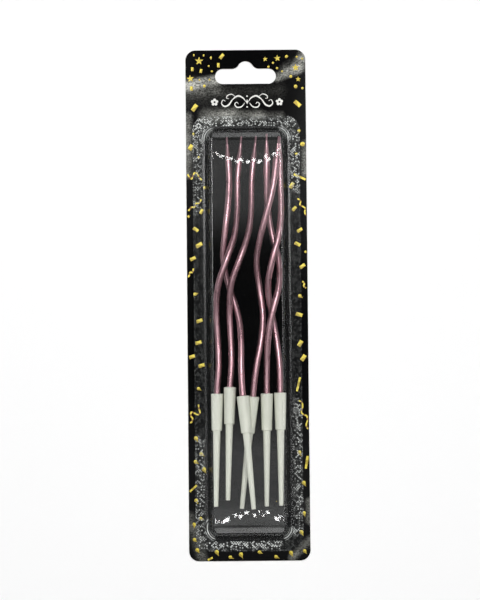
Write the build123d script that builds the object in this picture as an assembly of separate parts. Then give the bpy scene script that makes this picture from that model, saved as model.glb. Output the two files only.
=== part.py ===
from build123d import *
import os
from collections import namedtuple
from math import cos, radians, sin, sqrt, tan, tau

# A blister pack of six spiral birthday candles, each pushed into its own spike holder.
# Millimetres. The pack lies on its back: X runs across the card, Y up to the hang slot, Z out of the front.
# The origin is the middle of the card's back face.

# Candle: a wax rod with one long right-handed turn and a wick through its core.
candle_d = 2.7
spiral_radius = 2.75     # axis of the turn to the middle of the rod
foot_run = 11.8          # straight rod below the turn
turn_length = 91.0
turn_ease = 0.6          # 0 winds evenly, 1 starts and ends along the axis
tip_run = 3.6            # straight rod above the turn
taper_length = 6.7
taper_hollow = 0.12      # how far the taper is drawn in at its middle
taper_end_d = 1.25
wick_d = 0.85
wick_out = 3.0
wick_clearance = 0.03

# Holder: a tapered cup with a socket for the candle, on a spike for the cake.
mouth_d = 5.25
cup_foot_d = 4.35
cup_length = 15.6
mouth_chamfer = 0.2
shoulder_round = 0.3
spike_top_d = 3.17
spike_end_d = 1.85
spike_length = 32.0
spike_end_chamfer = 0.15
socket_depth = 9.0
socket_clearance = 0.05
lead_in = 0.35           # chamfer round the socket's mouth

# Card and hang slot
card_thickness = 0.5
card_corner = 4.3
side_margin = 2.8        # card beside the blister's flange
foot_margin = 4.1
header_height = 28.4
slot_length = 26.0
slot_height = 6.5
slot_drop = 11.3         # card's top edge to the middle of the slot
crown_radius = 3.6
crown_height = 3.2       # above the slot's upper edge
crown_shoulder = 3.0

# Blister: one formed film, a flange sealed to the card and a drafted tray over the candles.
film = 0.35
flange_width = 5.3
flange_corner = 6.0
tray_corner = 4.2
tray_draft = 9.0
tray_round = 0.9
foot_round = 0.5
end_roll_run = 4.2       # the tray's roof rolls down over this length at each end
end_roll_drop = 1.2
head_room = 1.2
side_gap = 0.55
tip_gap = 2.7
foot_room = 12.4         # free length between the spikes and the tray's end

# How the six sets lie, from left to right. Their mouths are evenly spaced, but for a small shift.
# rise: mouth above the common line. lean: to the right, going up. tilt: out of the card, going up.
# roll: where the turn starts, about the holder's axis. bend: of the rod over its holder, to the right.
# seat: candle's foot above the floor of the socket.
mouth_gap = 0.2
rest_gap = 0.25          # each set lies this far over the card
Lie = namedtuple("Lie", "shift rise lean tilt roll bend seat")
lies = [
    Lie(shift=0.4, rise=-0.75, lean=1.0, tilt=-0.7, roll=62, bend=5.0, seat=2.95),
    Lie(shift=0.4, rise=1.95, lean=1.5, tilt=-1.4, roll=60, bend=5.0, seat=0.5),
    Lie(shift=0.37, rise=-1.85, lean=-5.0, tilt=-2.3, roll=-45, bend=2.0, seat=3.05),
    Lie(shift=-0.8, rise=-2.05, lean=6.2, tilt=3.1, roll=-54, bend=0.0, seat=3.25),
    Lie(shift=-0.4, rise=-0.85, lean=0.5, tilt=1.1, roll=-177, bend=0.0, seat=3.05),
    Lie(shift=-0.2, rise=-0.55, lean=0.0, tilt=0.0, roll=34, bend=0.5, seat=1.75),
]

holder_length = cup_length + spike_length
rod_length = turn_length + tip_run
turn_steps = 36


# The candle's line, in the set's own frame: the mouth is at the origin and the holder hangs below it.

def foot_depth(lie):
    return socket_depth - lie.seat


def turn_plane(lie):
    """Frame at the start of the turn, along the axis of the turn."""
    bend = radians(lie.bend)
    run = foot_run - foot_depth(lie)
    if lie.bend:
        radius = run / bend
        start = (radius * (1 - cos(bend)), 0, radius * sin(bend))
    else:
        start = (0, 0, run)
    return Plane(origin=start, x_dir=(cos(bend), 0, -sin(bend)), z_dir=(sin(bend), 0, cos(bend)))


def turn_point(lie, share):
    """Point and direction at a share of the turn. The turn begins and ends along its axis."""
    start = radians(lie.roll)
    angle = start + tau * share - turn_ease * sin(tau * share)
    speed = tau * (1 - turn_ease * cos(tau * share)) if 0 < share < 1 else 0
    point = Vector(
        spiral_radius * (cos(angle) - cos(start)),
        spiral_radius * (sin(angle) - sin(start)),
        turn_length * share,
    )
    slope = Vector(
        -spiral_radius * speed * sin(angle),
        spiral_radius * speed * cos(angle),
        turn_length,
    )
    frame = turn_plane(lie)
    here = frame.from_local_coords(point)
    ahead = frame.from_local_coords(point + slope.normalized())
    return here, ahead - here


def biarc(start, start_dir, end, end_dir):
    """Two arcs, tangent to each other and to both end directions."""
    span = end - start
    along = span.dot(start_dir + end_dir)
    spread = 1 - start_dir.dot(end_dir)
    reach = span.dot(span) / (along + sqrt(along**2 + 2 * spread * span.dot(span)))
    near = start + start_dir * reach
    far = end - end_dir * reach
    middle = (near + far) * 0.5
    return [
        Edge.make_tangent_arc(start, start_dir, middle),
        Edge.make_tangent_arc(middle, far - near, end),
    ]


def candle_line(lie, below, above):
    """From below the mouth, through the bend and the turn, to above the turn's end."""
    frame = turn_plane(lie)
    edges = [Edge.make_line((0, 0, -below), (0, 0, 0))]
    if lie.bend:
        edges.append(Edge.make_tangent_arc((0, 0, 0), (0, 0, 1), frame.origin))
    else:
        edges.append(Edge.make_line((0, 0, 0), frame.origin))
    quarters = [turn_point(lie, quarter / 4) for quarter in range(5)]
    for (start, start_dir), (end, end_dir) in zip(quarters, quarters[1:]):
        edges += biarc(start, start_dir, end, end_dir)
    top = frame.from_local_coords(Vector(0, 0, turn_length))
    edges.append(Edge.make_line(top, frame.from_local_coords(Vector(0, 0, turn_length + above))))
    return Wire(edges)


def rod(lie, diameter, below, above):
    return sweep(Pos(0, 0, -below) * Circle(diameter / 2), path=candle_line(lie, below, above))


def make_wick(lie):
    return rod(lie, wick_d, foot_depth(lie), tip_run + taper_length + wick_out)


def make_candle(lie):
    """Wax rod with its drawn-down tip, bored for the wick."""
    radius = candle_d / 2
    end_radius = taper_end_d / 2
    waist = ((radius + end_radius) / 2 - taper_hollow, taper_length / 2)
    side = ThreePointArc((radius, 0), waist, (end_radius, taper_length))
    rest = Polyline((end_radius, taper_length), (0, taper_length), (0, 0), (radius, 0))
    taper = revolve(Plane.XZ * make_face([side, rest]), Axis.Z)
    taper_frame = turn_plane(lie).offset(rod_length)
    wax = rod(lie, candle_d, foot_depth(lie), tip_run) + taper_frame.location * taper
    bore = rod(lie, wick_d + 2 * wick_clearance, socket_depth, tip_run + taper_length + wick_out)
    return wax - bore


def make_holder():
    mouth = mouth_d / 2
    socket = candle_d / 2 + socket_clearance
    outline = Polyline(
        (0, -socket_depth),
        (socket, -socket_depth),
        (socket, -lead_in),
        (socket + lead_in, 0),
        (mouth - mouth_chamfer, 0),
        (mouth, -mouth_chamfer),
        (cup_foot_d / 2, -cup_length),
        (spike_top_d / 2, -cup_length),
        (spike_end_d / 2, -holder_length + spike_end_chamfer),
        (spike_end_d / 2 - spike_end_chamfer, -holder_length),
        (0, -holder_length),
        close=True,
    )
    holder = revolve(Plane.XZ * make_face(outline), Axis.Z)
    rims = holder.edges().filter_by(GeomType.CIRCLE)
    shoulder = [rim for rim in rims if abs(rim.radius - cup_foot_d / 2) < mouth_chamfer / 2]
    return fillet(shoulder, min(shoulder_round, 0.9 * (cup_foot_d - spike_top_d) / 2))


# Where each set lies

def set_plane(number, height):
    """Frame of a set: its mouth at the origin, its holder's axis along Z."""
    lie = lies[number]
    lean = radians(lie.lean)
    tilt = radians(lie.tilt)
    place = (number - (len(lies) - 1) / 2) * (mouth_d + mouth_gap) + lie.shift
    axis = (sin(lean) * cos(tilt), cos(lean) * cos(tilt), sin(tilt))
    return Plane(origin=(place, lie.rise, height), x_dir=(cos(lean), -sin(lean), 0), z_dir=axis)


def reach(number, height):
    """Centre points along a set, each with the radius there."""
    lie = lies[number]
    points = [
        (Vector(0, 0, -holder_length), spike_end_d / 2),
        (Vector(0, 0, -cup_length), cup_foot_d / 2),
        (Vector(0, 0, 0), mouth_d / 2),
    ]
    points += [(turn_point(lie, step / turn_steps)[0], candle_d / 2) for step in range(turn_steps + 1)]
    top = turn_plane(lie).offset(rod_length)
    points.append((top.origin, candle_d / 2))
    points.append((top.offset(taper_length + wick_out).origin, wick_d / 2))
    frame = set_plane(number, height)
    return [(frame.from_local_coords(point), radius) for point, radius in points]


def rest_height(number):
    lowest = min(point.Z - radius for point, radius in reach(number, 0))
    return card_thickness + rest_gap - lowest


heights = [rest_height(number) for number in range(len(lies))]
held = [spot for number in range(len(lies)) for spot in reach(number, heights[number])]

# The tray is sized round the candles that it holds, and the flange and the card round the tray.
draft = tan(radians(tray_draft))
roof = max(point.Z + radius for point, radius in held) + head_room
tray_half = max(abs(point.X) + radius + (point.Z - card_thickness) * draft for point, radius in held) + side_gap
tray_top = max(point.Y for point, radius in held) + tip_gap
tray_foot = min(point.Y for point, radius in held) - foot_room
tray_length = tray_top - tray_foot
flange_half = tray_half + film + flange_width
card_width = 2 * (flange_half + side_margin)
card_top = tray_top + film + flange_width + header_height
card_foot = tray_foot - film - flange_width - foot_margin
card_height = card_top - card_foot
card_middle = (card_top + card_foot) / 2
tray_middle = (tray_top + tray_foot) / 2 - card_middle


def hang_slot():
    """Long slot with a round crown and flared shoulders, for a hook or a rod."""
    slot = SlotOverall(slot_length, slot_height)
    crown = Pos(0, slot_height / 2 + crown_height - crown_radius) * Circle(crown_radius)
    outline = slot + crown
    corners = [
        corner
        for corner in outline.vertices()
        if abs(corner.X) < crown_radius and abs(corner.Y - slot_height / 2) < slot_height / 100
    ]
    return fillet(corners, crown_shoulder)


def make_card():
    board = RectangleRounded(card_width, card_height, card_corner)
    board -= Pos(0, card_height / 2 - slot_drop) * hang_slot()
    return extrude(board, card_thickness)


def tray(skin):
    """Solid under a skin of the tray: 0 is the inside of the film, film is the outside."""
    base = RectangleRounded(2 * (tray_half + skin), tray_length + 2 * skin, tray_corner + skin)
    depth = roof - card_thickness + skin
    block = extrude(base, depth, taper=tray_draft)
    block = fillet(block.faces().sort_by(Axis.Z)[-1].edges(), tray_round + skin)
    end = tray_length / 2 + skin - depth * draft
    beyond = tray_length / 2 + flange_width
    radius = (end_roll_run**2 + end_roll_drop**2) / (2 * end_roll_drop)
    slope = end_roll_run / (radius - end_roll_drop)
    roll_middle = (end - end_roll_run / 2, depth - radius + sqrt(radius**2 - (end_roll_run / 2) ** 2))
    crest = ThreePointArc((end - end_roll_run, depth), roll_middle, (end, depth - end_roll_drop))
    side = Polyline(
        (end, depth - end_roll_drop),
        (beyond, depth - end_roll_drop - slope * (beyond - end)),
        (beyond, 0),
        (0, 0),
        (0, depth),
        (end - end_roll_run, depth),
    )
    half = extrude(Plane.YZ * make_face([crest, side]), 2 * tray_half, both=True)
    block &= half + mirror(half, about=Plane.XZ)
    return Pos(0, tray_middle, card_thickness) * block


def make_blister():
    flange = RectangleRounded(2 * flange_half, tray_length + 2 * (film + flange_width), flange_corner)
    blister = Pos(0, tray_middle, card_thickness) * extrude(flange, film)
    blister = blister + tray(film) - tray(0)
    level = card_thickness + film
    upper = [face for face in blister.faces() if abs(face.center().Z - level) < film / 100]
    return fillet(upper[0].inner_wires()[0].edges(), foot_round)


os.makedirs("parts", exist_ok=True)
export_step(make_card(), "parts/backing_card.step")
export_step(make_blister(), "parts/blister.step")
blank_holder = make_holder()
for number, lie in enumerate(lies):
    frame = set_plane(number, heights[number])
    place = Pos(0, -card_middle, 0) * frame.location
    name = number + 1
    export_step(place * make_candle(lie), f"parts/candle_{name}.step")
    export_step(place * make_wick(lie), f"parts/wick_{name}.step")
    export_step(place * blank_holder, f"parts/holder_{name}.step")

print(f"card {card_width:.2f} x {card_height:.2f} x {card_thickness}, roof at {roof + film:.2f}")
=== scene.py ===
from math import ceil, cos, hypot, pi, radians, sin, sqrt, tan

import bmesh
import bpy
from mathutils import Matrix, Vector


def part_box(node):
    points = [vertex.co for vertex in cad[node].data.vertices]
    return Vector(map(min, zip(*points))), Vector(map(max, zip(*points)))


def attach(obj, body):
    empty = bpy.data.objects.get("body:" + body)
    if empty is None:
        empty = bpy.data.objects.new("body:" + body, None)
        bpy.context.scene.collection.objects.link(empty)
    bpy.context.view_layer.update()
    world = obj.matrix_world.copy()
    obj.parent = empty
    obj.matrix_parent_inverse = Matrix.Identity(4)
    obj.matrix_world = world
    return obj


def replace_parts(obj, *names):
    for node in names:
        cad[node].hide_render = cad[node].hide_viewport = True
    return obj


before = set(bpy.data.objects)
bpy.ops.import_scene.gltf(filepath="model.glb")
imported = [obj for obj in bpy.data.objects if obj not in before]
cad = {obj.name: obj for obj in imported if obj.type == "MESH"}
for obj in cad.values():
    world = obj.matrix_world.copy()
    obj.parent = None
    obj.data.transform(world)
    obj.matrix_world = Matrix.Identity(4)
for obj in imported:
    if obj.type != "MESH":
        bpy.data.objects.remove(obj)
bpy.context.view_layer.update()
mm = 0.001
sets = range(1, 7)           # numbers of the candles, wicks and holders
print("frame loaded:", len(cad), "nodes")


# Shader maths: a Tone is one socket, and a sum or product of tones adds its Math nodes.

class Tone:
    def __init__(self, finish, socket):
        self.finish, self.socket = finish, socket

    def maths(self, operation, a, b=0.0, clamp=False):
        return self.finish.add("Math", {"operation": operation, "use_clamp": clamp}, {0: a, 1: b})

    def __add__(self, other): return self.maths("ADD", self, other)
    def __radd__(self, other): return self.maths("ADD", other, self)
    def __sub__(self, other): return self.maths("SUBTRACT", self, other)
    def __rsub__(self, other): return self.maths("SUBTRACT", other, self)
    def __mul__(self, other): return self.maths("MULTIPLY", self, other)
    def __rmul__(self, other): return self.maths("MULTIPLY", other, self)
    def __truediv__(self, other): return self.maths("DIVIDE", self, other)
    def __rtruediv__(self, other): return self.maths("DIVIDE", other, self)
    def __pow__(self, other): return self.maths("POWER", self, other)
    def __rpow__(self, other): return self.maths("POWER", other, self)
    def over(self, edge): return self.maths("GREATER_THAN", self, edge)
    def clamped(self): return self.maths("ADD", self, 0.0, True)
    def root(self): return self.maths("SQRT", self)
    def size(self): return self.maths("ABSOLUTE", self)
    def wave(self, pitch): return self.maths("SINE", self * (2 * pi / pitch))


class Finish:
    def __init__(self, holder, ending="OutputMaterial"):
        holder.use_nodes = True
        self.holder, self.tree = holder, holder.node_tree
        self.tree.nodes.clear()
        self.ending = self.tree.nodes.new("ShaderNode" + ending)

    # a node by its type, with its settings first and then the values or links of its sockets
    def add(self, kind, settings=None, sockets=None, output=0):
        node = self.tree.nodes.new("ShaderNode" + kind)
        for key, value in (settings or {}).items():
            setattr(node, key, value)
        for key, value in (sockets or {}).items():
            if isinstance(value, Tone):
                self.tree.links.new(value.socket, node.inputs[key])
            else:
                node.inputs[key].default_value = value
        return Tone(self, node.outputs[output])

    def mixed(self, share, a, b):
        a, b = [c if isinstance(c, Tone) else (*c, 1.0) for c in (a, b)]
        return self.add("Mix", {"data_type": "RGBA"}, {0: share, 6: a, 7: b}, 2)

    def split(self, vector):
        return [self.add("SeparateXYZ", None, {0: vector}, axis) for axis in "XYZ"]

    # x and y on the piece in millimetres
    def place(self):
        return [axis * 1000.0 for axis in self.split(self.add("TexCoord", output="Object"))[:2]]

    # 1 where the surface faces out of the card's front
    def front(self):
        return self.split(self.add("TexCoord", output="Normal"))[2].over(0.5)

    # noise with a grain of the given size in millimetres along each axis
    def grain(self, size, detail=2.0, roughness=0.55):
        spread = {"Vector": self.add("TexCoord", output="Object"), "Scale": tuple(1000.0 / s for s in size)}
        where = self.add("Mapping", None, spread)
        noise = {"Vector": where, "Scale": 1.0, "Detail": detail, "Roughness": roughness}
        return self.add("TexNoise", None, noise)

    def ranged(self, tone, low, high, bottom=0.0, top=1.0):
        return self.add("MapRange", {"clamp": True}, {0: tone, 1: low, 2: high, 3: bottom, 4: top})

    # 1 on the line from a to b, fading to 0 at the given width
    def streak(self, x, y, a, b, width):
        run = (b[0] - a[0], b[1] - a[1])
        far = run[0] ** 2 + run[1] ** 2
        along = (((x - a[0]) * run[0] + (y - a[1]) * run[1]) / far).clamped()
        away = ((x - a[0] - along * run[0]) ** 2.0 + (y - a[1] - along * run[1]) ** 2.0).root()
        fade = (1.0 - away / width).clamped()
        return fade * fade * (3.0 - 2.0 * fade)

    # sum of streaks, each with its from, to, width and strength
    def streaks(self, x, y, rows, total=0.0):
        for a, b, width, strength in rows:
            total = self.streak(x, y, a, b, width) * strength + total
        return total

    def bump(self, height, distance, strength=1.0):
        return self.add("Bump", None, {"Height": height, "Distance": distance, "Strength": strength})

    def wear(self, shader):
        self.tree.links.new(shader.socket, self.ending.inputs["Surface"])
        return self.holder

    def body(self, sockets):
        return self.wear(self.add("BsdfPrincipled", None, sockets))


def newFinish(name):
    return Finish(bpy.data.materials.new(name))


def shaded(colour, share):
    return tuple(c * share for c in colour)


def dress(node, material):
    for slot in cad[node].material_slots:
        slot.material = material


def newObject(name, data):
    made = bpy.data.objects.new(name, data)
    bpy.context.scene.collection.objects.link(made)
    return made


def meshObject(name, bm, materials):
    mesh = bpy.data.meshes.new(name)
    bm.to_mesh(mesh)
    bm.free()
    for material in materials:
        mesh.materials.append(material)
    return newObject(name, mesh)


def newPiece(name, bm, materials, body):
    bmesh.ops.recalc_face_normals(bm, faces=bm.faces)
    piece = meshObject(name, bm, materials)
    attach(piece, body)
    return piece


# Card: gloss black print on grey-white board, with painted sheen streaks on the lacquer: grey painted into
# the black ink, and rougher lacquer along them

card = {
    "ink": (0.0014, 0.0014, 0.0016),
    # painted reflection: the grey of the sheen streaks on the black ink
    "paintedSheen": (0.60, 0.60, 0.54),
    "boardPale": (0.72, 0.70, 0.65),
    "boardDark": (0.55, 0.53, 0.49),
    "gloss": 0.06,           # roughness of the lacquer and of the bare board
    "boardRough": 0.82,
    "relief": 0.00004,       # metres
    # grains in millimetres along x, y and z
    "fibre": (0.35, 1.4, 0.35),
    "fleck": (0.12, 0.12, 0.12),
    "speck": (0.8, 0.6, 0.6),
    "cloud": (9.0, 4.0, 4.0),
    "peel": (1.6, 1.6, 1.6),
    # from, to, width and strength of each painted sheen streak, in millimetres on the card
    "paintedSheenStreaks": [
        ((25.0, 106.0), (22.0, 100.5), 3.6, 0.75),
        ((23.0, 100.5), (13.6, 97.0), 2.9, 0.95),
        ((24.5, 103.0), (18.0, 100.0), 4.5, 0.35),
        ((-25.6, 93.6), (-12.6, 96.0), 3.2, 1.10),
        ((-25.0, 92.4), (-14.0, 93.0), 6.0, 0.40),
        ((-24.0, 88.0), (-12.0, 89.5), 7.0, 0.07),
        ((-8.0, 91.0), (14.0, 91.0), 6.0, 0.07),
        ((-17.0, 80.6), (-6.0, 80.8), 4.6, 0.60),
        ((-8.0, 80.6), (6.0, 80.7), 3.6, 0.34),
        ((4.0, 80.6), (15.0, 80.6), 2.6, 0.28),
        ((-25.2, 80.0), (-25.4, 56.0), 3.4, 0.60),
        ((25.5, 68.0), (25.6, 55.0), 3.0, 0.55),
        ((-25.4, -90.0), (-20.0, -108.0), 3.4, 0.30),
        ((25.4, -84.0), (25.4, -92.0), 2.6, 0.45),
        ((18.0, -107.5), (25.5, -100.0), 2.6, 0.45),
    ],
}


def printedBoard():
    f = newFinish("printedBoard")
    x, y = f.place()
    front = f.front()
    fibre = f.grain(card["fibre"], 3.0)
    fleck = f.grain(card["fleck"], 1.0)
    peel = f.grain(card["peel"], 1.0)
    speck = f.ranged(f.grain(card["speck"], 2.0, 0.7), 0.38, 0.66)
    cloud = f.ranged(f.grain(card["cloud"], 2.0), 0.35, 0.7, 0.45, 1.0)
    # painted reflection: grey sheen streaks mixed into the ink colour, which also make the lacquer rougher
    paintedSheen = (f.streaks(x, y, card["paintedSheenStreaks"]) * cloud * (speck * 0.8 + 0.2)).clamped()
    ink = f.mixed(paintedSheen, card["ink"], card["paintedSheen"])
    board = f.mixed(f.ranged(fibre * 0.7 + fleck * 0.3, 0.3, 0.7), card["boardDark"], card["boardPale"])
    lacquer = card["gloss"] + paintedSheen * 0.3 + fleck * 0.02
    return f.body({
        "Base Color": f.mixed(front, board, ink),
        "Roughness": front * (lacquer - card["boardRough"]) + card["boardRough"],
        "Normal": f.bump(peel * front * 0.1 + fibre * (1.0 - front), card["relief"], 0.5),
        "Coat Weight": front * 0.02,
        "Coat Roughness": 0.06,
        "Specular IOR Level": 0.2,
    })


dress("backing_card", printedBoard())
print("card dressed")


# Print: a thin closed layer of foil or ink on the card's front

layer = {
    "base": -0.010,          # below and above the card's front, in millimetres
    "top": 0.014,
    "fold": 0.030,           # how far the middle of a scrap stands up
    "mottle": (0.5, 0.5, 0.5),   # grains in millimetres
    "pits": (0.14, 0.14, 0.14),
    "relief": 0.000015,      # metres
}
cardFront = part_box("backing_card")[1].z / mm


def foil(name, colour, darkShare, metal, rough):
    f = newFinish(name)
    mottle = f.ranged(f.grain(layer["mottle"], 3.0), 0.3, 0.7)
    return f.body({
        "Base Color": f.mixed(mottle, shaded(colour, darkShare), colour),
        "Roughness": rough + mottle * 0.12,
        "Normal": f.bump(f.grain(layer["pits"], 1.0), layer["relief"], 0.6),
        "Metallic": metal,
    })


def point(bm, x, y, z):
    return bm.verts.new((x * mm, y * mm, (cardFront + z) * mm))


# closed scrap with an outline, a raised middle and its own tone on each facet
def addScrap(bm, outline, middle, tones):
    low = [point(bm, x, y, layer["base"]) for x, y in outline]
    high = [point(bm, x, y, layer["top"]) for x, y in outline]
    peak = point(bm, *middle, layer["fold"])
    count = len(outline)
    for i in range(count):
        j = (i + 1) % count
        for corners in ((low[i], low[j], high[j], high[i]), (high[i], high[j], peak)):
            bm.faces.new(corners).material_index = tones[i % len(tones)]
    bm.faces.new(low[::-1])


# flat stroke along places of x, y and width, with the tones taken in turn
def addStroke(bm, line, tones):
    section = ((1, layer["base"]), (1, layer["top"]), (-1, layer["top"]), (-1, layer["base"]))
    rows = []
    for i, (x, y, width) in enumerate(line):
        before, after = line[max(0, i - 1)], line[min(len(line) - 1, i + 1)]
        dx, dy = after[0] - before[0], after[1] - before[1]
        run = hypot(dx, dy) or 1.0
        sx, sy = -dy / run * width / 2, dx / run * width / 2
        rows.append([point(bm, x + side * sx, y + side * sy, z) for side, z in section])
    for i in range(len(rows) - 1):
        for k in range(4):
            j = (k + 1) % 4
            face = bm.faces.new((rows[i][k], rows[i][j], rows[i + 1][j], rows[i + 1][k]))
            face.material_index = tones[i % len(tones)]
    bm.faces.new(rows[0][::-1])
    bm.faces.new(rows[-1])


# smooth line through places of x, y and width
def smoothLine(places, steps=6):
    line, last = [], len(places) - 1
    for i in range(last):
        near = [places[max(0, min(last, i + k))] for k in (-1, 0, 1, 2)]
        for step in range(steps + (i == last - 1)):
            t = step / steps
            pull = [-t / 2 + t * t - t**3 / 2,
                    1 - 2.5 * t * t + 1.5 * t**3,
                    t / 2 + 2 * t * t - 1.5 * t**3,
                    -t * t / 2 + t**3 / 2]
            x, y = [sum(pull[k] * near[k][axis] for k in range(4)) for axis in (0, 1)]
            line.append((x, y, near[1][2] + (near[2][2] - near[1][2]) * t))
    return line


def oval(x, y, halfWide, halfHigh, count):
    angles = [2 * pi * k / count for k in range(count)]
    return [(x + halfWide * cos(a), y + halfHigh * sin(a)) for a in angles]


# Gold print: stars, dots, folded scraps, commas, bars and ribbons

gold = {
    # colour, its share in the dark mottle, metallic and roughness
    "foils": {
        "foilBright": ((0.62, 0.50, 0.038), 0.8, 0.25, 0.34),
        "foilDeep": ((0.34, 0.25, 0.012), 0.75, 0.3, 0.36),
        "foilShade": ((0.17, 0.055, 0.016), 0.7, 0.3, 0.4),
    },
    "starReach": (0.58, 0.24),   # points and hollows, as shares of a star's width
    "starSway": 4.0,             # degrees
    "dotReach": 0.44,            # shares of a dot's width and height
    "dotPeak": 0.1,
    "skew": 0.12,                # share of a scrap's width
    "scrapPeak": (-0.12, 0.1),   # shares of its length and width
    "head": 0.34,                # a comma's round head, as a share of its length
    "headAt": -0.16,
    "headArc": (40, 300, 32),    # from, to and step in degrees
    "commaPeak": -0.14,
    "tail": [(0.2, -0.55), (0.62, -0.15), (0.2, 0.35)],   # shares of the length and of the head
    "ribbonWidth": 0.62,
    # x, y, width
    "stars": [
        (-19.8, 104.2, 3.2), (-23.6, 96.6, 2.9), (8.5, 104.8, 1.9), (13.7, 105.1, 2.5),
        (21.5, 101.0, 2.9), (22.5, 96.0, 2.0),
    ],
    # x, y, width, height
    "dots": [
        (-22.0, 106.7, 0.8, 1.2), (-17.8, 106.6, 0.8, 1.2), (-14.7, 105.5, 0.9, 1.5),
        (-15.7, 102.0, 0.9, 1.0), (-14.3, 99.7, 1.1, 0.9), (-19.7, 96.0, 0.8, 1.1),
        (-15.4, 96.1, 0.8, 1.0), (-17.6, 93.4, 1.3, 1.5), (17.6, 105.8, 1.4, 1.4),
        (22.0, 105.6, 0.9, 1.0), (24.3, 104.8, 1.0, 1.1), (11.8, 103.1, 1.0, 1.1),
        (9.9, 101.4, 1.1, 1.1), (13.5, 100.8, 1.1, 1.1), (15.7, 99.4, 1.0, 1.0),
        (19.4, 97.2, 1.3, 1.5), (21.4, 92.9, 1.7, 1.7), (24.3, 92.1, 1.2, 1.2),
        (-22.5, 72.8, 1.0, 1.5), (-20.3, 62.7, 1.3, 1.3), (-18.0, 49.8, 1.0, 1.6),
        (-24.8, 37.5, 1.1, 1.3), (22.6, 73.8, 1.5, 1.5), (24.1, 68.1, 2.2, 2.2),
        (21.4, 63.9, 1.5, 1.3), (24.9, 22.0, 1.1, 1.3), (11.5, -83.8, 0.5, 0.5),
    ],
    # x, y, length, width, turn in degrees
    "scraps": [
        (-10.1, 106.1, 2.6, 1.5, 55), (-11.5, 102.3, 2.0, 1.2, 95), (-22.7, 100.7, 1.8, 1.2, 95),
        (-19.0, 99.9, 1.8, 1.2, 85), (-23.1, 92.4, 2.0, 1.3, 92), (-21.9, 84.1, 3.4, 1.9, 58),
        (22.1, 85.5, 3.4, 1.9, -38), (-23.6, 67.1, 2.7, 2.0, 65), (-19.3, 39.6, 2.3, 1.4, 70),
        (-21.8, 32.0, 2.7, 1.5, -30), (-20.4, 25.3, 3.1, 1.8, 35), (-23.1, 19.5, 2.6, 1.5, 30),
        (-20.5, -7.0, 2.8, 1.6, 22), (-21.0, -16.3, 2.8, 1.6, 20), (-23.8, -22.2, 2.7, 1.6, 22),
        (-19.8, -26.0, 2.8, 1.6, 22), (19.3, 50.5, 2.9, 1.7, 62), (20.3, 40.5, 2.4, 1.4, 55),
        (22.5, 31.3, 2.6, 1.5, 35), (21.5, 25.4, 2.8, 1.6, -25), (23.5, 15.9, 2.7, 1.5, 40),
        (21.9, -4.7, 3.0, 1.7, -14), (22.2, -17.0, 2.9, 1.8, 64), (23.5, -23.1, 3.0, 1.8, 62),
    ],
    # x, y, length, turn of the tail in degrees
    "commas": [
        (-22.0, 4.5, 2.1, 20), (22.5, 3.1, 2.1, -30), (-20.9, -35.9, 2.0, -30),
        (-22.2, -57.1, 2.5, -58), (-19.9, -63.6, 2.3, -30), (-22.3, -66.9, 2.3, -28),
        (-18.9, -70.3, 2.6, -58), (21.6, -63.5, 2.4, -58), (23.3, -76.3, 2.5, -55),
        (-22.3, -83.4, 2.4, -60), (-20.4, -90.8, 2.1, -20), (-23.4, -93.5, 2.2, -80),
        (-23.1, -99.8, 2.1, -40), (-22.0, -104.2, 2.3, -50), (-13.8, -105.2, 2.6, -60),
        (-8.0, -107.2, 2.1, -20), (-3.6, -106.3, 2.6, -60), (4.4, -105.2, 2.1, -20),
        (11.4, -107.2, 2.2, -20), (17.6, -105.8, 2.5, -60), (23.4, -105.0, 2.2, -50),
        (22.1, -97.1, 2.5, -60), (23.2, -89.1, 2.2, -70),
    ],
    # x, y of both ends, width
    "bars": [
        (20.2, 55.3, 25.2, 52.9, 0.9), (22.0, -31.4, 20.6, -37.2, 0.9),
        (-22.2, -76.7, -25.2, -79.3, 0.8), (24.9, -64.7, 24.0, -70.0, 1.0),
        (-15.7, -107.2, -17.8, -108.2, 0.8),
    ],
    "ribbons": [
        [(-25.1, 55.6), (-23.8, 53.8), (-23.2, 53.9), (-22.4, 55.8), (-21.7, 56.3), (-21.0, 55.8),
         (-19.9, 54.0), (-19.0, 53.2)],
        [(-19.4, 44.8), (-20.1, 43.3), (-21.6, 43.1), (-22.2, 41.6), (-23.7, 41.4), (-24.8, 39.9)],
        [(-22.9, 15.3), (-23.3, 13.8), (-24.4, 13.6), (-24.7, 12.4), (-25.2, 11.6)],
        [(-21.2, -42.5), (-21.0, -44.4), (-20.6, -45.9), (-21.5, -46.8), (-23.3, -46.0), (-24.3, -45.8),
         (-24.5, -47.3), (-23.8, -48.4), (-24.2, -49.9), (-24.9, -50.1)],
        [(21.7, 44.8), (23.0, 43.7), (22.7, 42.2), (23.9, 41.4), (25.0, 40.5), (24.7, 39.0), (25.2, 37.6)],
        [(23.4, 9.4), (24.2, 8.7), (24.0, 7.4), (25.0, 6.6)],
        [(21.4, -41.2), (22.7, -42.1), (22.9, -44.0), (22.4, -46.0), (23.3, -47.2), (24.6, -47.7),
         (25.0, -49.4), (24.4, -51.6), (25.0, -53.0), (25.2, -53.2)],
    ],
}


# places turned by some degrees and set about a middle
def turned(places, turn, middle):
    c, s = cos(radians(turn)), sin(radians(turn))
    return [(middle[0] + x * c - y * s, middle[1] + x * s + y * c) for x, y in places]


def starOutline(x, y, width):
    outline = []
    for k in range(10):
        reach = width * gold["starReach"][k % 2]
        angle = radians(90 + 36 * k + gold["starSway"] * sin(x))
        outline.append((x + reach * cos(angle), y + reach * sin(angle)))
    return outline


# outline and middle of a scrap and of a comma, lying along x at the origin
def scrapShape(length, width):
    halfLong, halfWide, skew = length / 2, width / 2, width * gold["skew"]
    outline = [(-halfLong, skew - halfWide), (halfLong - skew, -halfWide), (halfLong, halfWide - skew),
               (skew - halfLong, halfWide)]
    along, across = gold["scrapPeak"]
    return outline, (length * along, width * across)


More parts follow.
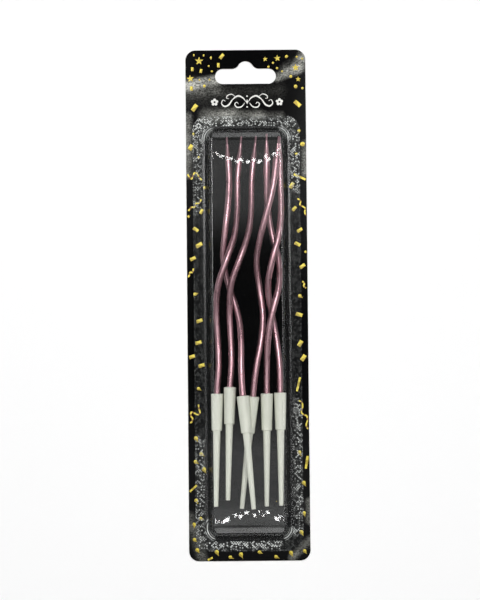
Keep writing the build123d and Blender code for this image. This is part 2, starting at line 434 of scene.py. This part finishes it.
def commaShape(length):
    head = length * gold["head"]
    turns = [radians(a) for a in range(*gold["headArc"])]
    outline = [(head * cos(a) + length * gold["headAt"], head * sin(a)) for a in turns]
    outline += [(length * x, head * y) for x, y in gold["tail"]]
    return outline, (length * gold["commaPeak"], 0.0)


def makeGoldPrint():
    bm = bmesh.new()
    bright, deep, shade = range(3)

    def addTurned(shape, turn, middle, tones):
        outline, peak = shape
        addScrap(bm, turned(outline, turn, middle), turned([peak], turn, middle)[0], tones)

    for x, y, width in gold["stars"]:
        addScrap(bm, starOutline(x, y, width), (x, y), [bright, deep])
    for x, y, width, height in gold["dots"]:
        ring = oval(x, y, width * gold["dotReach"], height * gold["dotReach"], 12)
        peak = (x - width * gold["dotPeak"], y + height * gold["dotPeak"])
        addScrap(bm, ring, peak, [bright] * 7 + [deep] * 5)
    for x, y, length, width, turn in gold["scraps"]:
        addTurned(scrapShape(length, width), turn, (x, y), [deep, bright, bright, deep])
    for x, y, length, turn in gold["commas"]:
        addTurned(commaShape(length), turn, (x, y), [bright] * 5 + [deep] * 6)
    for ax, ay, bx, by, width in gold["bars"]:
        line = [(ax + (bx - ax) * k / 6, ay + (by - ay) * k / 6, width) for k in range(7)]
        addStroke(bm, line, [bright, bright, deep, deep, bright, bright])
    for places in gold["ribbons"]:
        line = smoothLine([(x, y, gold["ribbonWidth"]) for x, y in places])
        addStroke(bm, line, [bright] * 3 + [deep, shade, shade, deep] + [bright] * 3)
    foils = [foil(name, *look) for name, look in gold["foils"].items()]
    return newPiece("goldPrint", bm, foils, "card")


# White print: a flourish between two flowers

white = {
    "ink": ((0.80, 0.80, 0.76), 0.86, 0.0, 0.4),   # as the foils
    "flowers": [(-13.3, 86.4), (14.4, 86.3)],
    "flowerRadius": 1.6,
    "petals": 5,
    "petalReach": (0.55, 0.45),  # shares of the radius in the clefts, and added at the tips
    "petalRound": 0.55,
    "core": (0.2, 0.12),         # the same of the hole in the middle
    "flourish": (0.6, 86.5),
    "diamond": (0.5, 1.1),       # half its width and height
    "beads": (2.4, -2.2),        # over and under the diamond
    "beadRadius": 0.34,
    "strokeScale": 0.72,         # on the widths of the strokes
    # strokes of the flourish's right half: x, y, width
    "strokes": [
        [(0.5, 0.0, 0.2), (1.8, 1.7, 0.75), (4.0, 2.5, 1.0), (6.2, 1.0, 0.6), (7.8, -1.2, 0.95),
         (9.6, -1.9, 0.85), (10.9, -0.7, 0.6), (10.3, 0.8, 0.4), (9.2, 0.3, 0.3)],
        [(1.0, -0.4, 0.2), (2.4, -2.1, 0.7), (4.4, -2.3, 0.8), (5.3, -1.0, 0.55), (4.4, -0.2, 0.4),
         (3.7, -0.9, 0.3)],
        [(5.0, 2.2, 0.15), (6.6, 3.3, 0.5), (8.4, 2.7, 0.6), (8.7, 1.6, 0.45), (7.8, 1.4, 0.3)],
    ],
}


def addFlower(bm, x, y):
    count, radius = 60, white["flowerRadius"]
    (cleft, tip), (hole, bulge) = white["petalReach"], white["core"]
    rings = []
    for z in (layer["base"], layer["top"]):
        outer, inner = [], []
        for k in range(count):
            angle = 2 * pi * k / count
            lobe = abs(cos(white["petals"] / 2 * (angle - pi / 2)))
            reach = radius * (cleft + tip * lobe ** white["petalRound"])
            core = radius * (hole + bulge * lobe)
            outer.append(point(bm, x + reach * cos(angle), y + reach * sin(angle), z))
            inner.append(point(bm, x + core * cos(angle), y + core * sin(angle), z))
        rings += [outer, inner]
    lowOuter, lowInner, highOuter, highInner = rings
    loop = [highOuter, highInner, lowInner, lowOuter, highOuter]
    for a, b in zip(loop, loop[1:]):
        for k in range(count):
            j = (k + 1) % count
            bm.faces.new((a[k], a[j], b[j], b[k]))


def makeWhitePrint():
    bm = bmesh.new()
    for x, y in white["flowers"]:
        addFlower(bm, x, y)
    cx, cy = white["flourish"]
    for side in (1, -1):
        for places in white["strokes"]:
            line = smoothLine([(x, y, w * white["strokeScale"]) for x, y, w in places])
            addStroke(bm, [(cx + side * x, cy + y, w) for x, y, w in line], [0])
    addScrap(bm, oval(cx, cy, *white["diamond"], 4), (cx, cy), [0])
    for drop in white["beads"]:
        bead = oval(cx, cy + drop, white["beadRadius"], white["beadRadius"], 10)
        addScrap(bm, bead, (cx, cy + drop), [0])
    return newPiece("whitePrint", bm, [foil("whiteInk", *white["ink"])], "card")


makeGoldPrint()
makeWhitePrint()
print("print laid on the card")


# Blister: one formed film with a knurled seal band, drawn as rings from the rim up to the roof

film = {
    # shape in millimetres and degrees
    "skin": 0.35,
    "rimCorner": 6.0,
    "trayCorner": 4.55,
    "leastCorner": 0.7,
    "cornerSteps": 14,
    "flange": 5.3,
    "draft": 9.0,
    "edgeRound": 0.06,
    "footRound": 0.5,
    "footLead": 0.05,        # flat before the foot's round, and after the roof's
    "roofLead": 0.06,
    "roofRound": 1.25,
    "roofRings": 7,
    "roofStep": 0.9,
    "rollRun": 4.2,          # the roof rolls down at both ends
    "rollDrop": 1.2,
    "rollPast": 1.2,
    "lift": 0.06,            # underside over the card, clear of the print
    "step": 0.66,            # knurl pitch along the band
    "bandFrom": 0.45,
    "bandTo": 4.25,
    "bandRows": 8,
    "knurl": 0.11,
    "breakAt": 64.3,         # both long sides of the band have a gap here
    "breakHalf": 0.7,
    "sharp": 40.0,           # edges steeper than this stay sharp
    # roughness of each finish's gloss, and its share of a clean pane's
    "gloss": {
        "roof": (0.022, 1.65),
        "wall": (0.2, 0.35),
        "band": (0.2, 0.03),
        "ridge": (0.17, 0.6),
        "seal": (0.2, 0.02),
    },
    "tint": (0.985, 0.99, 0.99),
    # colour of the painted glare: a whitish layer put where lights would reflect on the film
    "paintedGlare": (0.66, 0.68, 0.66),
    # strength of the whitish layer over each stretch (painted glare, with a slight even haze on the roof
    # and lines on the walls), and where along y it comes in
    "roofHaze": 0.001,
    "wallHaze": 0.010,
    "bandGlintPaint": 0.042,
    "topGlarePaint": 0.010,
    "topFade": (16.0, 58.0),
    "footGlarePaint": 0.030,
    "footFade": (-82.0, -92.0),
    "endGlarePaint": 0.03,
    "endFades": ((68.4, 70.2), (-92.4, -94.2)),
    "ripple": 0.00002,       # fine cross lines where the roof rolls down, metres
    # grains in millimetres along x, y and z
    "smear": (6.0, 2.2, 6.0),
    "cloud": (14.0, 5.0, 8.0),
    "lines": (14.0, 0.45, 3.0),
    "drawn": (0.5, 16.0, 6.0),
    "glareArcGrain": (1.2, 1.2, 1.2),
    "patch": (1.8, 1.8, 1.8),
    "arcMiddle": (12.9, 82.6),   # middle of the painted highlight arcs round the corners, from the tray's middle
    "trayMiddle": -12.15,
    "glareArcPitch": 0.95,
    "knurlPitch": 0.76,
    # from, to, width and strength of the painted highlight arcs round the tray's corners
    "corners": [
        ((-18.7, 71.0), (-15.4, 74.0), 2.5, 0.60),
        ((18.7, 71.2), (15.4, 74.2), 2.5, 0.60),
        ((-17.9, -91.0), (-17.8, -97.0), 0.7, 0.60),
        ((-17.8, -96.5), (-15.6, -98.9), 1.7, 0.75),
        ((18.2, -95.5), (15.5, -98.9), 1.7, 0.65),
    ],
    # from, to, width and strength of the stretches of the band with stronger painted glints
    "bright": [
        ((-21.0, 79.0), (-21.0, 65.5), 6.0, 0.40),
        ((-19.0, 77.3), (-7.0, 77.5), 4.6, 0.56),
        ((-7.0, 77.2), (21.0, 77.2), 4.4, 0.42),
        ((21.0, 71.0), (21.0, 50.0), 5.0, 0.48),
        ((-21.0, 62.5), (-21.0, 40.0), 4.0, 0.25),
        ((-20.6, -58.0), (-20.6, -101.0), 3.8, 0.30),
        ((-17.0, -101.4), (12.0, -101.8), 3.6, 0.58),
        ((21.0, -42.0), (21.0, -90.0), 3.6, 0.34),
        ((19.5, -97.0), (21.0, -95.0), 3.0, 0.36),
    ],
}
slope = tan(radians(film["draft"]))


# side of the film from the rim inwards: inset, height, share of the roof's roll and finish
def filmSide(base, roof):
    level = base + film["skin"]
    bend = radians(90 - film["draft"])
    foot, ridge, edge = film["footRound"], film["roofRound"], film["edgeRound"]
    footSteps, wallSteps, ridgeSteps = 6, 7, 10

    def wallAt(z):
        return film["flange"] + (z - base) * slope

    rows = [(0.0, base + film["lift"], 0, "band"), (0.0, level - edge, 0, "band"), (edge, level, 0, "band")]
    bandRun = film["bandTo"] - film["bandFrom"]
    for row in range(film["bandRows"] + 1):
        rows.append((film["bandFrom"] + bandRun * row / film["bandRows"], level, 0, "band"))
    footIn = wallAt(level) - foot * tan(bend / 2)
    rows.append((footIn - film["footLead"], level, 0, "wall"))
    for k in range(footSteps + 1):
        a = bend * k / footSteps
        rows.append((footIn + foot * sin(a), level + foot * (1 - cos(a)), 0, "wall"))
    ridgeReach = ridge * tan(bend / 2)
    wallFrom, wallTo = level + foot, roof - ridgeReach * sin(bend)
    for k in range(1, wallSteps):
        z = wallFrom + (wallTo - wallFrom) * k / wallSteps
        rows.append((wallAt(z), z, (z - level) / (roof - level), "wall"))
    roofIn = wallAt(roof) + ridgeReach
    for k in range(ridgeSteps + 1):
        a = bend * (1 - k / ridgeSteps)
        rows.append((roofIn - ridge * sin(a), roof - ridge + ridge * cos(a), 1, "ridge"))
    rows.append((roofIn + film["roofLead"], roof, 1, "ridge"))
    for k in range(1, film["roofRings"] + 1):
        rows.append((roofIn + film["roofStep"] * k, roof, 1, "roof"))
    return rows, footIn


# the same side one skin lower, from the roof back to the rim's underside
def filmInside(side, footIn, base):
    level = base + film["skin"]
    rows = []
    for k in range(len(side) - 1, 0, -1):
        inset, z, share, kind = side[k]
        if inset < footIn:
            if inset > film["edgeRound"]:
                rows.append((inset, base + film["lift"], 0, "seal"))
            continue
        before, after = side[k - 1], side[min(len(side) - 1, k + 1)]
        dx, dz = after[0] - before[0], after[1] - before[1]
        run = hypot(dx, dz)
        skin = film["skin"] - (film["lift"] if z <= level else 0.0)
        rows.append((inset + dz / run * skin, z - dx / run * skin, share, kind))
    return rows


def makeFilm():
    low, high = [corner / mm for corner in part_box("blister")]
    middle = (low.y + high.y) / 2
    halfWide, halfLong = high.x, (high.y - low.y) / 2
    base, roof = low.z, high.z
    longSteps = 2 * ceil((halfLong - film["rimCorner"]) / film["step"])
    wideSteps = 2 * ceil((halfWide - film["rimCorner"]) / film["step"])
    cornerSteps, finishes = film["cornerSteps"], list(film["gloss"])
    rollRadius = (film["rollRun"] ** 2 + film["rollDrop"] ** 2) / (2 * film["rollDrop"])
    rollFrom = halfLong - film["flange"] - (roof - base) * slope - film["rollRun"]
    side, footIn = filmSide(base, roof)
    inside = filmInside(side, footIn, base)
    bm = bmesh.new()

    def cornerRadius(inset):
        if inset <= film["flange"]:
            return film["rimCorner"] + (film["trayCorner"] - film["rimCorner"]) * inset / film["flange"]
        return max(film["leastCorner"], film["trayCorner"] - (inset - film["flange"]))

    def rollAt(y):
        past = min(max(0.0, abs(y) - rollFrom), film["rollRun"] + film["rollPast"])
        return rollRadius - sqrt(rollRadius**2 - past * past)

    # anticlockwise from the right side: each corner, then the straight run after it
    def ringPlaces(inset):
        r = cornerRadius(inset)
        w, h = halfWide - inset - r, halfLong - inset - r
        quarters = ((w, h, (-1, 0), w, wideSteps), (-w, h, (0, -1), h, longSteps),
                    (-w, -h, (1, 0), w, wideSteps), (w, -h, (0, 1), h, longSteps))
        places = []
        for quarter, (cx, cy, way, half, steps) in enumerate(quarters):
            for k in range(cornerSteps):
                angle = pi / 2 * (quarter + k / cornerSteps)
                places.append((cx + r * cos(angle), cy + r * sin(angle)))
            end = pi / 2 * (quarter + 1)
            ax, ay = cx + r * cos(end), cy + r * sin(end)
            for k in range(steps):
                run = 2 * half * k / steps
                places.append((ax + way[0] * run, ay + way[1] * run))
        return places

    def addRing(inset, z, share, kind, row=0):
        ring = []
        banded = kind == "band" and film["bandFrom"] <= inset <= film["bandTo"]
        for k, (x, y) in enumerate(ringPlaces(inset)):
            dent = 0.0
            if banded and (k + row) % 2 and abs(y + middle - film["breakAt"]) > film["breakHalf"]:
                dent = film["knurl"]
            ring.append(bm.verts.new((x * mm, (y + middle) * mm, (z - dent - share * rollAt(y)) * mm)))
        return ring

    def bridge(a, b, kind):
        for k in range(len(a)):
            j = (k + 1) % len(a)
            face = bm.faces.new((a[k], a[j], b[j], b[k]))
            face.smooth, face.material_index = kind != "band", finishes.index(kind)

    outer = [addRing(*entry, row) for row, entry in enumerate(side)]
    under = [addRing(*entry) for entry in inside]
    for k in range(len(outer) - 1):
        bridge(outer[k], outer[k + 1], side[k + 1][3])
    bm.faces.new(outer[-1])
    bm.faces.new(under[0][::-1])
    for k in range(len(under) - 1):
        bridge(under[k], under[k + 1], inside[k][3])
    bridge(under[-1], outer[0], "band")
    print("film:", len(outer[0]), "points a ring,", len(outer) + len(under), "rings")
    piece = newPiece("formedFilm", bm, [clearFilm(part) for part in finishes], "blister")
    piece.data.set_sharp_from_angle(angle=radians(film["sharp"]))
    return piece


# painted glints on the knurl: whitish points, each with its own strength
def paintBandGlints(f, x, y):
    slanted = {"Vector": f.add("TexCoord", output="Object"), "Rotation": (0.0, 0.0, pi / 4),
               "Scale": (1000.0 / film["knurlPitch"],) * 3}
    cells = {"Vector": f.add("Mapping", None, slanted), "Scale": 1.0, "Randomness": 0.25}
    flat = {"voronoi_dimensions": "2D"}
    dot = f.ranged(f.add("TexVoronoi", flat, cells), 0.55, 0.25)
    spark = f.ranged(f.split(f.add("TexVoronoi", flat, cells, "Color"))[0], 0.35, 0.8)
    # painted glints, stronger along the listed stretches of the band
    bright = f.streaks(x, y, film["bright"], film["bandGlintPaint"])
    patch = f.ranged(f.grain(film["patch"], 2.0, 0.6), 0.3, 0.65, 0.5, 1.0)
    return (bright * patch * (dot * spark * 2.2 + 0.06)).clamped()


# lines drawn down the wall, and painted highlight arcs round the tray's corners
def paintWallGlareAndLines(f, x, y):
    drawn = f.ranged(f.grain(film["drawn"], 3.0, 0.6), 0.3, 0.75) * film["wallHaze"]
    across = x.size() - film["arcMiddle"][0]
    along = (y - film["trayMiddle"]).size() - film["arcMiddle"][1]
    arcs = (across * across + along * along).root().wave(film["glareArcPitch"])
    # painted highlight: bright arcs round the tray's corners
    glareArcs = f.ranged(arcs + f.grain(film["glareArcGrain"]), 0.1, 1.3)
    return f.streaks(x, y, film["corners"]) * glareArcs + drawn


# painted glare: haze over the top and the foot of the window and lined haze at both ends of the roof, and
# the bump of the lines across the ends
def paintRoofGlare(f, y):
    cloud = f.ranged(f.grain(film["cloud"], 2.0, 0.5), 0.3, 0.75)
    lines = f.grain(film["lines"], 2.0, 0.6)
    head, toe = [f.ranged(y, *fade) for fade in film["endFades"]]
    ends = (head + toe).clamped()
    top = f.ranged(y, *film["topFade"]) * film["topGlarePaint"]
    foot = f.ranged(y, *film["footFade"]) * film["footGlarePaint"]
    lined = ends * f.ranged(lines, 0.3, 0.7) * film["endGlarePaint"]
    # painted reflection haze, over a slight even haze on the whole roof
    paintedGlare = (cloud * 0.6 + 0.4) * (top + foot + lined + film["roofHaze"])
    return paintedGlare, f.bump((lines - 0.5) * ends, film["ripple"])


def clearFilm(part):
    f = newFinish(part + "Film")
    x, y = f.place()
    rough, level = film["gloss"][part]
    gloss = {"Color": (1.0, 1.0, 1.0, 1.0), "Roughness": rough}
    if part == "band":
        paintedGlare = paintBandGlints(f, x, y)
    elif part == "roof":
        paintedGlare, gloss["Normal"] = paintRoofGlare(f, y)
    else:
        paintedGlare = paintWallGlareAndLines(f, x, y)
    smear = f.ranged(f.grain(film["smear"], 4.0, 0.6), 0.35, 0.8)
    slant = f.add("LayerWeight", None, {"Blend": 0.5}, "Facing")
    share = (slant ** 5.0 * 0.4 + 0.04) * (smear * 0.3 + 0.8) * level
    clear = f.add("BsdfTransparent", None, {"Color": (*film["tint"], 1.0)})
    shine = f.add("BsdfGlossy", {"distribution": "BECKMANN"}, gloss)
    pane = f.add("MixShader", None, {0: share, 1: clear, 2: shine})
    # painted glare: a whitish diffuse layer mixed over the clear pane
    paintedGlareLayer = f.add("BsdfDiffuse", None, {"Color": (*film["paintedGlare"], 1.0)})
    return f.wear(f.add("MixShader", None, {0: paintedGlare, 1: pane, 2: paintedGlareLayer}))


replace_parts(makeFilm(), "blister")
print("film formed")


# Candles: pink pearl coat with a fine flake

coat = {
    "pale": (0.47, 0.275, 0.305),
    "deep": (0.32, 0.168, 0.195),
    "metal": 0.84,
    "rough": 0.23,
    "relief": 0.00006,       # metres
    # grains in millimetres along x, y and z
    "flake": (0.16, 0.16, 0.16),
    "drift": (1.5, 9.0, 1.5),
    "lump": (2.2, 5.0, 2.2),
}


def pearlCoat():
    f = newFinish("pearlCoat")
    flake = f.grain(coat["flake"], 1.0)
    drift = f.ranged(f.grain(coat["drift"], 3.0, 0.6), 0.3, 0.7)
    lump = f.grain(coat["lump"], 2.0)
    return f.body({
        "Base Color": f.mixed(drift * 0.6 + f.ranged(flake, 0.35, 0.65) * 0.4, coat["deep"], coat["pale"]),
        "Roughness": coat["rough"] + drift * 0.07 + flake * 0.05,
        "Metallic": coat["metal"] + flake * 0.08,
        "Normal": f.bump(lump * 0.3 + flake * 0.05, coat["relief"], 0.5),
        "Coat Weight": 0.55 + drift * 0.1,
        "Coat Roughness": 0.1,
    })


# Wicks: cotton strands dipped in the coat

wick = {
    "colour": (0.28, 0.145, 0.17),
    "strands": 700.0,        # scale of the slanted bands
    "fuzz": (0.1, 0.3, 0.1),     # grain in millimetres
    "relief": 0.00003,       # metres
}


def wickCotton():
    f = newFinish("wickCotton")
    twist = {"Vector": f.add("TexCoord", output="Object"), "Scale": wick["strands"], "Distortion": 1.5}
    strand = f.add("TexWave", {"wave_type": "BANDS", "bands_direction": "DIAGONAL"}, twist, "Fac")
    fuzz = f.grain(wick["fuzz"], 2.0)
    return f.body({
        "Base Color": f.mixed(strand * 0.6 + fuzz * 0.4, shaded(wick["colour"], 0.6), wick["colour"]),
        "Roughness": 0.5 + fuzz * 0.25,
        "Normal": f.bump(strand + fuzz * 0.5, wick["relief"], 0.8),
        "Metallic": 0.25,
    })


waxFinish, cottonFinish = pearlCoat(), wickCotton()
for number in sets:
    dress(f"candle_{number}", waxFinish)
    dress(f"wick_{number}", cottonFinish)
print("candles dressed")


# Holders: satin off-white moulding

moulding = {
    "pale": (0.80, 0.805, 0.70),
    "grey": (0.71, 0.715, 0.62),
    "rough": 0.40,
    "relief": 0.00003,       # metres
    # grains in millimetres along x, y and z
    "draw": (0.5, 14.0, 0.5),
    "mottle": (3.0, 6.0, 3.0),
    "pits": (0.09, 0.09, 0.09),
}


def satinPlastic():
    f = newFinish("satinPlastic")
    draw = f.ranged(f.grain(moulding["draw"], 2.0), 0.3, 0.7)
    mottle = f.ranged(f.grain(moulding["mottle"], 3.0), 0.3, 0.7)
    pits = f.grain(moulding["pits"], 1.0)
    return f.body({
        "Base Color": f.mixed(draw * 0.45 + mottle * 0.55, moulding["grey"], moulding["pale"]),
        "Roughness": moulding["rough"] + pits * 0.1 - draw * 0.06,
        "Normal": f.bump(draw * 0.6 + pits * 0.3, moulding["relief"], 0.5),
        "Coat Weight": 0.22 + draw * 0.08,
        "Coat Roughness": 0.16,
        "IOR": 1.49,
    })


plastic = satinPlastic()
for number in sets:
    dress(f"holder_{number}", plastic)
print("holders dressed")


# Stage: pale floor, dim sky over a bright horizon, soft panels, and the overhead camera

stage = {
    "floor": (0.95, 0.95, 0.95),
    "floorHalf": 2.5,
    "floorDrop": 0.0002,     # under the card's back
    "floorRelief": 0.00005,  # metres
    "tooth": (3.0, 3.0, 3.0),    # grains in millimetres
    "tint": (260.0, 260.0, 260.0),
    "skyTop": 0.004,
    "skyRim": 0.5,
    # place, aim, width, height, watts
    "panels": {
        "ceilingPanel": ((0.0, 0.162, 0.93), (0.0, 0.162, 0.0), 1.6, 0.135, 0.155),
        "footPanel": ((0.0, -0.125, 0.93), (0.0, -0.125, 0.0), 1.6, 0.17, 0.30),
        "leftBar": ((-0.15, 0.20, 0.9), (-0.05, 0.05, 0.0), 0.18, 0.32, 3.9),
        "rightBar": ((0.15, 0.20, 0.9), (0.05, 0.05, 0.0), 0.18, 0.32, 3.9),
        "leftLowBar": ((-0.15, -0.07, 0.9), (-0.05, -0.04, 0.0), 0.18, 0.38, 0.7),
        "rightLowBar": ((0.15, -0.07, 0.9), (0.05, -0.04, 0.0), 0.18, 0.38, 0.7),
        "leftPanel": ((-0.62, 0.0, 0.95), (-0.05, 0.0, 0.0), 0.6, 0.9, 3.4),
        "rightPanel": ((0.62, 0.0, 0.95), (0.05, 0.0, 0.0), 0.6, 0.9, 3.4),
        "headPanel": ((0.0, 0.62, 0.80), (0.0, 0.07, 0.0), 0.9, 0.6, 1.35),
        "toePanel": ((0.0, -0.60, 0.78), (0.0, -0.095, 0.0), 0.9, 0.7, 1.9),
    },
    "softEdge": 0.25,        # share of a panel's width that fades out
    # glints of the small lamps on the tray's roof: x, y, length and width in millimetres, and the turn
    # of the long side in degrees
    "glints": [
        (-12.4, 62.9, 2.3, 0.7, 122), (-10.6, 61.5, 1.9, 0.6, 117), (-9.8, 62.2, 2.1, 0.7, 128),
        (-7.9, 60.9, 2.2, 0.6, 112), (-6.4, 60.8, 1.9, 0.8, 130), (-4.0, 59.4, 1.8, 0.9, 148),
        (-2.1, 60.3, 2.1, 1.2, 156), (0.7, 59.2, 1.8, 1.0, 6), (3.2, 60.1, 2.1, 1.0, 20),
        (5.6, 59.3, 2.1, 1.1, 29), (8.2, 61.7, 2.2, 0.9, 66), (9.4, 60.4, 2.2, 0.8, 50),
        (11.5, 62.7, 2.3, 0.8, 58), (12.7, 62.2, 2.0, 0.6, 63), (13.5, 64.1, 2.1, 0.7, 69),
        (-12.8, -91.6, 1.8, 0.6, 75), (-10.2, -91.3, 6.0, 1.7, 40), (-5.9, -88.8, 2.2, 1.1, 48),
        (-3.8, -89.3, 2.1, 1.1, 52), (-1.2, -87.8, 2.2, 1.2, 28), (2.2, -88.9, 1.5, 1.3, 125),
        (4.2, -87.4, 1.0, 1.0, 33), (5.8, -89.0, 1.3, 1.0, 124), (7.7, -87.8, 2.1, 1.2, 138),
        (11.3, -90.5, 3.6, 1.1, 130), (12.6, -89.7, 2.1, 0.7, 107),
    ],
    "lampWide": 1.3,         # a lamp's width and length over its glint's
    "lampLong": 1.5,
    "lampGlow": 18.0,        # watts a square metre and steradian
    "eye": (-0.0032, -0.04205, 0.9),
    "aim": (-0.0032, 0.00175, 0.0),
    "roll": 0.00908,
    "lens": 127.05,
    "sensor": 36.0,
    "clip": (0.02, 20.0),
}


def paleFloor():
    f = newFinish("paleFloor")
    tooth = f.grain(stage["tooth"], 3.0)
    tint = f.ranged(f.grain(stage["tint"], 2.0), 0.3, 0.7)
    return f.body({
        "Base Color": f.mixed(tint, shaded(stage["floor"], 0.985), stage["floor"]),
        "Roughness": 0.85 + tooth * 0.1,
        "Normal": f.bump(tooth, stage["floorRelief"], 0.3),
    })


def makeFloor():
    bm = bmesh.new()
    bmesh.ops.create_grid(bm, x_segments=8, y_segments=8, size=stage["floorHalf"])
    for v in bm.verts:
        v.co.z = -stage["floorDrop"]
    floor = meshObject("floor", bm, [paleFloor()])


def aimed(eye, aim, roll=0.0):
    back = (Vector(eye) - Vector(aim)).normalized()
    side = Vector((sin(roll), cos(roll), 0.0)).cross(back).normalized()
    turn = Matrix((side, back.cross(side), back)).transposed()
    return Matrix.Translation(eye) @ turn.to_4x4()


def areaLamp(name, shape, width, height, watts):
    lamp = bpy.data.lights.new(name, "AREA")
    lamp.shape, lamp.size, lamp.size_y, lamp.energy = shape, width, height, watts
    return newObject(name, lamp)


def makePanels():
    for name, (place, aim, width, height, watts) in stage["panels"].items():
        panel = areaLamp(name, "RECTANGLE", width, height, watts)
        panel.matrix_world = aimed(place, aim)
        glow = Finish(panel.data, "OutputLight")
        across = glow.split(glow.add("NewGeometry", output="Parametric"))[:2]
        fade = [glow.ranged(0.5 - (u - 0.5).size(), 0.0, stage["softEdge"]) for u in across]
        glow.wear(glow.add("Emission", None, {"Strength": fade[0] * fade[1]}))


# each lamp stands level with the camera, where the roof mirrors it at its glint
def makeLamps():
    eye = Vector(stage["eye"])
    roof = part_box("blister")[1].z
    for x, y, length, width, turn in stage["glints"]:
        wide, long = stage["lampWide"] * width * mm, stage["lampLong"] * length * mm
        lamp = areaLamp("lamp", "ELLIPSE", wide, long, stage["lampGlow"] * pi * (pi / 4 * wide * long))
        spot = Vector((x * mm, y * mm, roof))
        place = Vector((2 * spot.x - eye.x, 2 * spot.y - eye.y, eye.z))
        lamp.matrix_world = aimed(place, spot, radians(90 - turn))


def makeSky():
    world = bpy.data.worlds.new("softSky")
    bpy.context.scene.world = world
    sky = Finish(world, "OutputWorld")
    up = sky.split(sky.add("TexCoord", output="Generated"))[2].clamped()
    glow = (1.0 - up) ** 1.5 * (stage["skyRim"] - stage["skyTop"]) + stage["skyTop"]
    sky.wear(sky.add("Background", None, {"Color": (1.0, 1.0, 1.0, 1.0), "Strength": glow}))


def makeCamera():
    camera = bpy.data.cameras.new("overheadCamera")
    camera.lens, camera.sensor_width = stage["lens"], stage["sensor"]
    camera.clip_start, camera.clip_end = stage["clip"]
    holder = newObject("overheadCamera", camera)
    holder.matrix_world = aimed(stage["eye"], stage["aim"], stage["roll"])
    bpy.context.scene.camera = holder


makeFloor()
makePanels()
makeLamps()
makeSky()
makeCamera()
bpy.context.scene.view_settings.view_transform = "Standard"
print("stage set")
